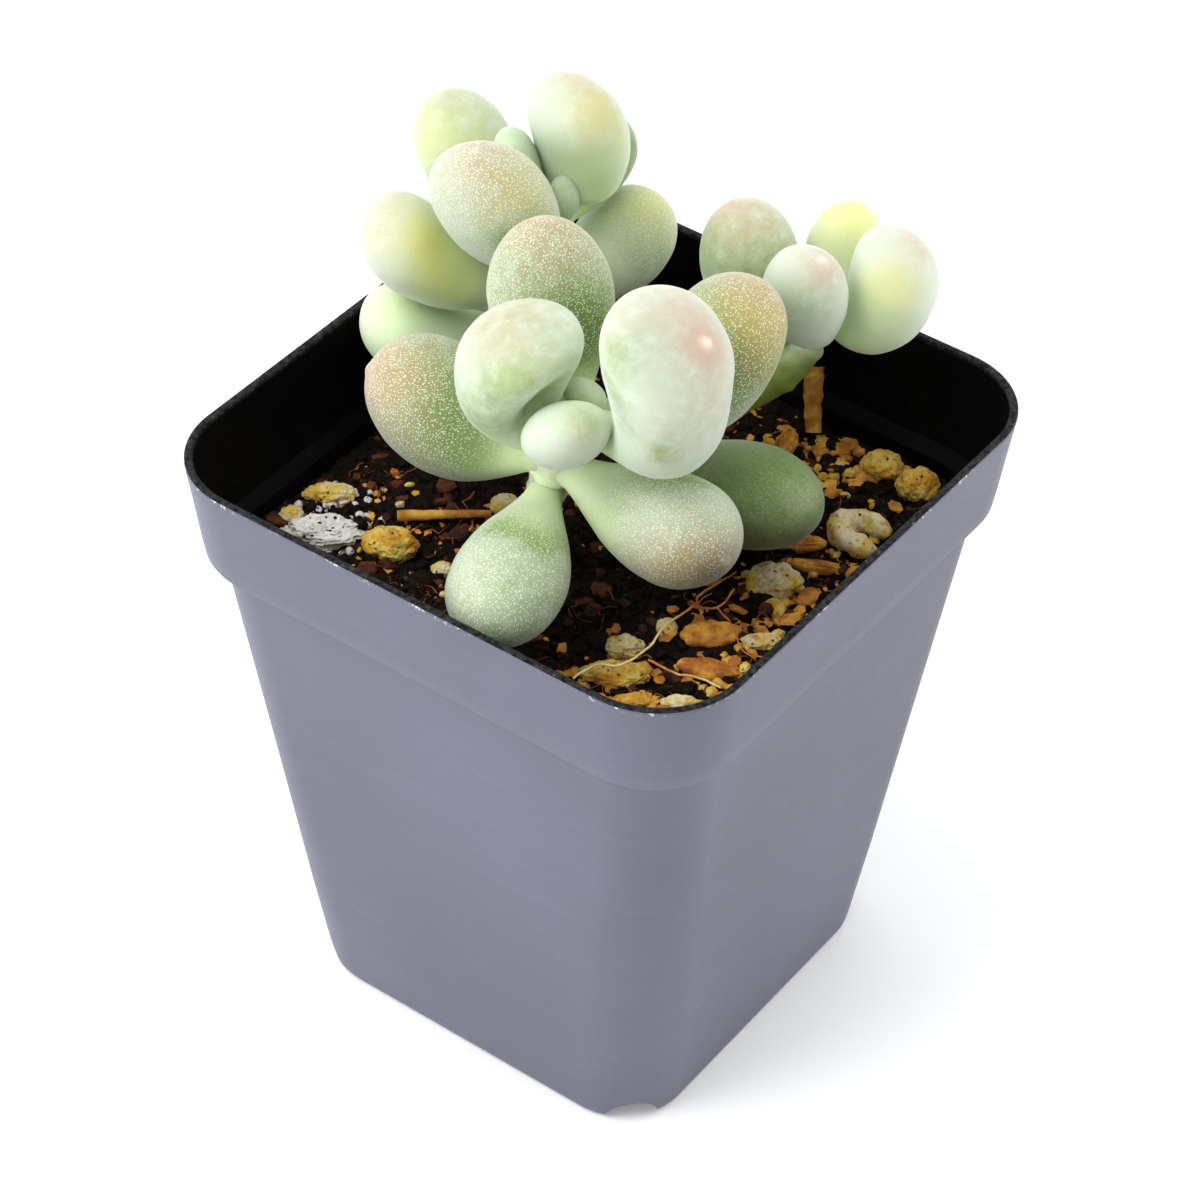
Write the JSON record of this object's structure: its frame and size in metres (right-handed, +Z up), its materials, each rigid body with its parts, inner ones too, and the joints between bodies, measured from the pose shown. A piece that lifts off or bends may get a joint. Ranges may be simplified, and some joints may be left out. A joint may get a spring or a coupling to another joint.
{
  "type": "potted graptopetalum",
  "caption": "Clump of a fat-leaved graptopetalum on short stems, in a square tapered nursery pot with soil, pumice granules and dry roots.",
  "frame": {"origin": "middle of the pot's flat underside, on the surface it stands on", "axes": "+Z up; +X and +Y along the pot's sides, the near corner of the picture at -X, -Y"},
  "size_m": [0.07, 0.07, 0.1055],
  "materials": {
    "pot_plastic": "satin",
    "soil": "matte",
    "stem_skin": "satin",
    "leaf_skin": "powdery",
    "perlite": "matte",
    "pumice": "matte",
    "bark": "matte",
    "dry_root": "matte"
  },
  "bodies": {
    "root": {"bark_chip_front": "bark", "bark_chip_front_low": "bark", "bark_chip_right": "bark", "bark_flake_brown": "bark", "bark_flake_ochre": "bark", "bark_flake_small": "bark", "dry_root_short": "dry_root", "dry_roots": "dry_root", "dry_stalk": "dry_root", "granule_front_flat": "pumice", "granule_front_pitted": "pumice", "granule_hollow": "pumice", "granule_left_dim": "pumice", "granule_left_ochre": "pumice", "granule_left_pale": "pumice", "granule_near_long": "pumice", "granule_near_pale": "pumice", "granule_near_small": "pumice", "granule_near_stained": "pumice", "granule_near_yellow": "pumice", "granule_right_lower": "pumice", "granule_right_upper": "pumice", "granule_speck": "perlite", "leaf_back_far_left": "leaf_skin", "leaf_back_hidden_low": "leaf_skin", "leaf_back_hidden_upper": "leaf_skin", "leaf_back_left": "leaf_skin", "leaf_back_low_left": "leaf_skin", "leaf_back_middle": "leaf_skin", "leaf_back_right": "leaf_skin", "leaf_back_upper": "leaf_skin", "leaf_back_upper_right": "leaf_skin", "leaf_front_left": "leaf_skin", "leaf_front_low": "leaf_skin", "leaf_front_low_left": "leaf_skin", "leaf_front_middle": "leaf_skin", "leaf_front_right": "leaf_skin", "leaf_front_upper": "leaf_skin", "leaf_front_upper_right": "leaf_skin", "leaf_front_young": "leaf_skin", "leaf_right_foot": "leaf_skin", "leaf_right_hidden": "leaf_skin", "leaf_right_low": "leaf_skin", "leaf_right_middle": "leaf_skin", "leaf_right_small": "leaf_skin", "leaf_right_upper": "leaf_skin", "pebble_pale": "perlite", "perlite_lump": "perlite", "pot": "pot_plastic", "soil": "soil", "stem_back": "stem_skin", "stem_front": "stem_skin", "stem_right": "stem_skin", "stick": "bark"}
  },
  "joints": []
}
